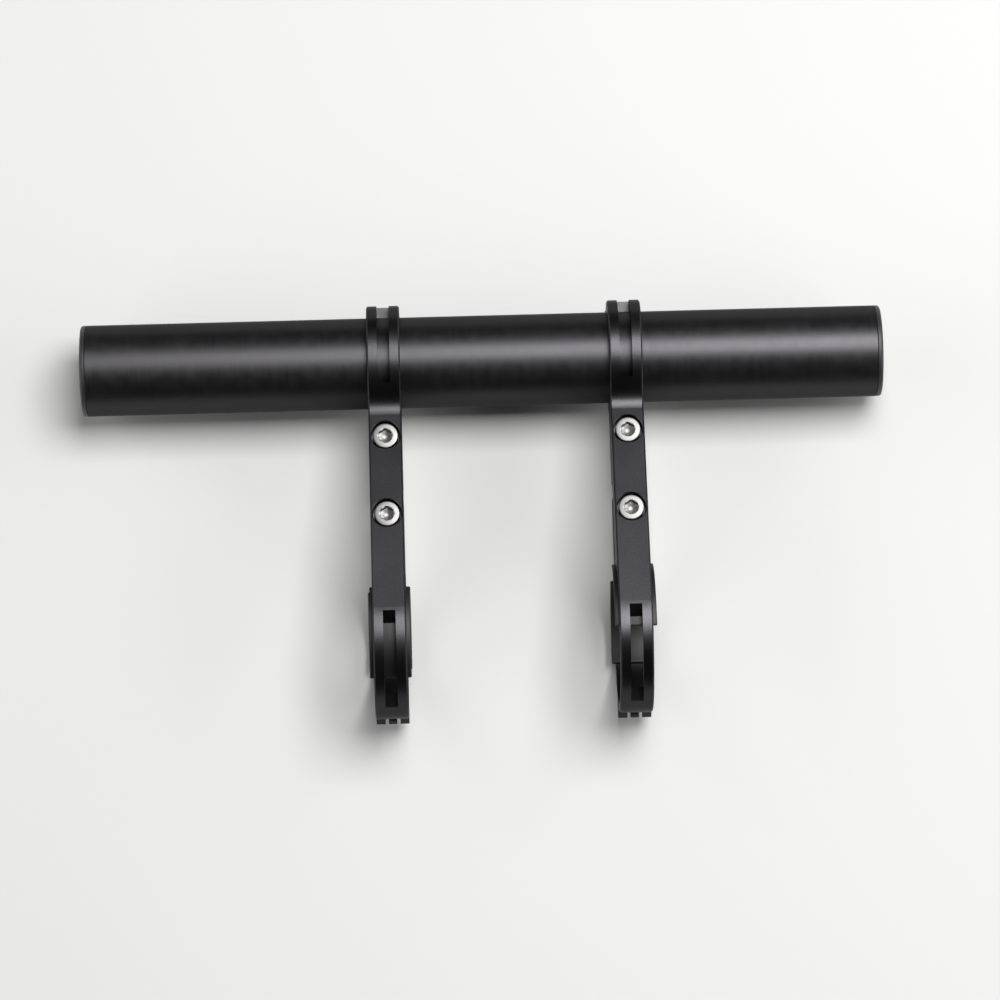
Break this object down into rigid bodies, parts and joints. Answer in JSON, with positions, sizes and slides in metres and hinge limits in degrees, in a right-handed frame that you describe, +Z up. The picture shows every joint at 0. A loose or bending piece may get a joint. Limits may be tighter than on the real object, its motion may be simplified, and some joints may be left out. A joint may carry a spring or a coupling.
{
  "type": "handlebar extender",
  "caption": "Hinged clamp brackets that carry a short hollow accessory tube parallel to a bicycle handlebar and ahead of it.",
  "frame": {"origin": "middle of the left bar clamp, on the handlebar's axis", "axes": "+X along the tube to the right, +Y ahead of the handlebar, +Z up; the undersides of the rings lie on one level plane"},
  "size_m": [0.195, 0.1019, 0.0382],
  "materials": {
    "tube_alloy": "black anodised, brushed round",
    "bracket_alloy": "black anodised, fine blasted",
    "cap_plastic": "moulded",
    "pad_rubber": "matte",
    "pin_steel": "ground",
    "screw_steel": "turned"
  },
  "bodies": {
    "tube": {"extender_tube": "tube_alloy", "left_end_cap": "cap_plastic", "right_end_cap": "cap_plastic"},
    "left_bracket": {"left_bracket_body": "bracket_alloy", "left_tube_hinge_pin": "pin_steel", "left_bar_hinge_pin": "pin_steel", "left_bar_upper_pad": "pad_rubber"},
    "left_tube_jaw": {"left_tube_jaw": "bracket_alloy"},
    "left_bar_jaw": {"left_bar_jaw": "bracket_alloy", "left_bar_lower_pad": "pad_rubber"},
    "left_tube_screw": {"left_tube_screw": "screw_steel"},
    "left_bar_screw": {"left_bar_screw": "screw_steel"},
    "right_bracket": {"right_bracket_body": "bracket_alloy", "right_tube_hinge_pin": "pin_steel", "right_bar_hinge_pin": "pin_steel", "right_bar_upper_pad": "pad_rubber"},
    "right_tube_jaw": {"right_tube_jaw": "bracket_alloy"},
    "right_bar_jaw": {"right_bar_jaw": "bracket_alloy", "right_bar_lower_pad": "pad_rubber"},
    "right_tube_screw": {"right_tube_screw": "screw_steel"},
    "right_bar_screw": {"right_bar_screw": "screw_steel"}
  },
  "joints": [
    {"name": "left_bracket_slide", "type": "slide", "parent": "tube", "child": "left_bracket", "axis": [1, 0, 0], "range_m": [-0.068, 0.024]},
    {"name": "left_tube_jaw_hinge", "type": "hinge", "parent": "left_bracket", "child": "left_tube_jaw", "pos_m": [0, 0.08029, -0.01552], "axis": [1, 0, 0], "range_deg": [0, 0.206]},
    {"name": "left_tube_screw_turn", "type": "hinge", "parent": "left_bracket", "child": "left_tube_screw", "pos_m": [0, 0.04886, 0.00039], "axis": [0, 0.0739, 0.9973], "range_deg": [0, 65]},
    {"name": "left_bar_jaw_hinge", "type": "hinge", "parent": "left_bracket", "child": "left_bar_jaw", "pos_m": [0, -0.01672, -0.01204], "axis": [-1, 0, 0], "range_deg": [0, 0.152]},
    {"name": "left_bar_screw_turn", "type": "hinge", "parent": "left_bracket", "child": "left_bar_screw", "pos_m": [0, 0.02881, 0.00589], "axis": [0, 0.0739, 0.9973], "range_deg": [0, 65]},
    {"name": "right_bracket_slide", "type": "slide", "parent": "tube", "child": "right_bracket", "axis": [1, 0, 0], "range_m": [-0.024, 0.057]},
    {"name": "right_tube_jaw_hinge", "type": "hinge", "parent": "right_bracket", "child": "right_tube_jaw", "pos_m": [0.0587, 0.08029, -0.01552], "axis": [1, 0, 0], "range_deg": [0, 0.206]},
    {"name": "right_tube_screw_turn", "type": "hinge", "parent": "right_bracket", "child": "right_tube_screw", "pos_m": [0.0587, 0.04886, 0.00039], "axis": [0, 0.0739, 0.9973], "range_deg": [0, 65]},
    {"name": "right_bar_jaw_hinge", "type": "hinge", "parent": "right_bracket", "child": "right_bar_jaw", "pos_m": [0.0587, -0.01672, -0.01204], "axis": [-1, 0, 0], "range_deg": [0, 0.152]},
    {"name": "right_bar_screw_turn", "type": "hinge", "parent": "right_bracket", "child": "right_bar_screw", "pos_m": [0.0587, 0.02881, 0.00589], "axis": [0, 0.0739, 0.9973], "range_deg": [0, 65]}
  ],
  "couplings": [
    {"joint": "left_tube_screw_turn", "follows": "left_tube_jaw_hinge", "ratio": 291.85},
    {"joint": "left_bar_screw_turn", "follows": "left_bar_jaw_hinge", "ratio": 395.67},
    {"joint": "right_tube_screw_turn", "follows": "right_tube_jaw_hinge", "ratio": 291.85},
    {"joint": "right_bar_screw_turn", "follows": "right_bar_jaw_hinge", "ratio": 395.67}
  ]
}
